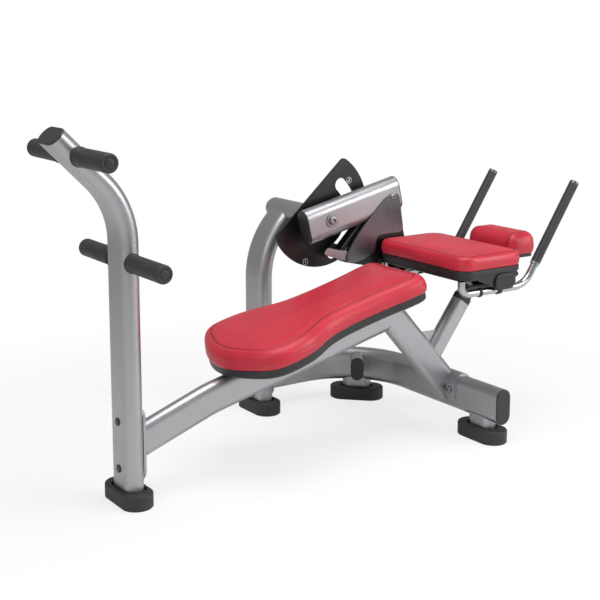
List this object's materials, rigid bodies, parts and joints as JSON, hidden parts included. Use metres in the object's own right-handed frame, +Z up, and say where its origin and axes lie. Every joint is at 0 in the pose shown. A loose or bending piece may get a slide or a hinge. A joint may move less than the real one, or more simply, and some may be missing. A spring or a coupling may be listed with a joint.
{
  "type": "decline sit up bench",
  "caption": "Sit up bench on a tube frame with foot pegs, an inclined contoured seat and a pivoting back rest with head rest and handle bars.",
  "frame": {"origin": "on the floor, at the centre of the front post's foot", "axes": "+X from the foot end to the head end, +Y to the mast side, +Z up"},
  "size_m": [1.8283, 0.872, 1.0942],
  "materials": {
    "frame_paint": "metallic silver powder coat",
    "black_paint": "satin black powder coat",
    "rubber": "moulded matt rubber",
    "black_plastic": "fine moulded texture",
    "red_vinyl": "upholstery vinyl",
    "chrome": "polished",
    "bolt_steel": "zinc plated",
    "bronze": "sintered"
  },
  "bodies": {
    "frame": {"front_post": "frame_paint", "front_post_cap": "black_plastic", "front_foot": "rubber", "lower_peg_bar": "black_paint", "lower_peg_grips": "rubber", "upper_peg_bar": "black_paint", "upper_peg_grips": "rubber", "main_rail": "frame_paint", "rail_flange": "frame_paint", "rail_bolts": "bolt_steel", "rail_bolt_plugs": "black_plastic", "base_beam": "frame_paint", "base_beam_cap": "black_plastic", "near_leg": "frame_paint", "near_foot": "rubber", "corner_leg": "frame_paint", "corner_foot": "rubber", "stub_tube": "frame_paint", "stub_cap": "black_plastic", "mast": "frame_paint", "mast_foot": "rubber", "beam_flange": "frame_paint", "beam_bolts": "bolt_steel", "pivot_housing": "frame_paint", "pivot_bushes": "bronze", "sector_plate": "black_paint", "diagonal_tube": "frame_paint", "beam_saddle": "frame_paint", "saddle_bolts": "bolt_steel", "rest_post": "frame_paint", "rest_bumper": "rubber", "rest_gusset": "frame_paint", "seat_cushion": "red_vinyl", "seat_shell": "black_plastic", "seat_plate": "frame_paint", "seat_bolts": "bolt_steel"},
    "crunch_arm": {"pivot_shaft": "chrome", "arm_tube": "frame_paint", "arm_caps": "black_plastic", "arm_bolts": "bolt_steel", "strut": "black_paint", "stop_bar": "chrome", "stop_sleeve": "rubber", "cross_tube": "frame_paint", "spine_tube": "frame_paint", "spine_cap": "black_plastic", "landing_block": "black_paint", "head_bracket": "frame_paint", "back_cushion": "red_vinyl", "back_shell": "black_plastic", "side_bosses": "black_plastic", "head_cushion": "red_vinyl", "head_board": "black_plastic", "near_handle_bar": "chrome", "far_handle_bar": "chrome", "handle_grips": "rubber", "handle_collars": "chrome", "grip_ends": "chrome", "bar_clamps": "black_plastic"}
  },
  "joints": [
    {"name": "crunch", "type": "hinge", "parent": "frame", "child": "crunch_arm", "pos_m": [0.88, 0.248, 0.716], "axis": [0, -1, 0], "range_deg": [0, 50]}
  ]
}
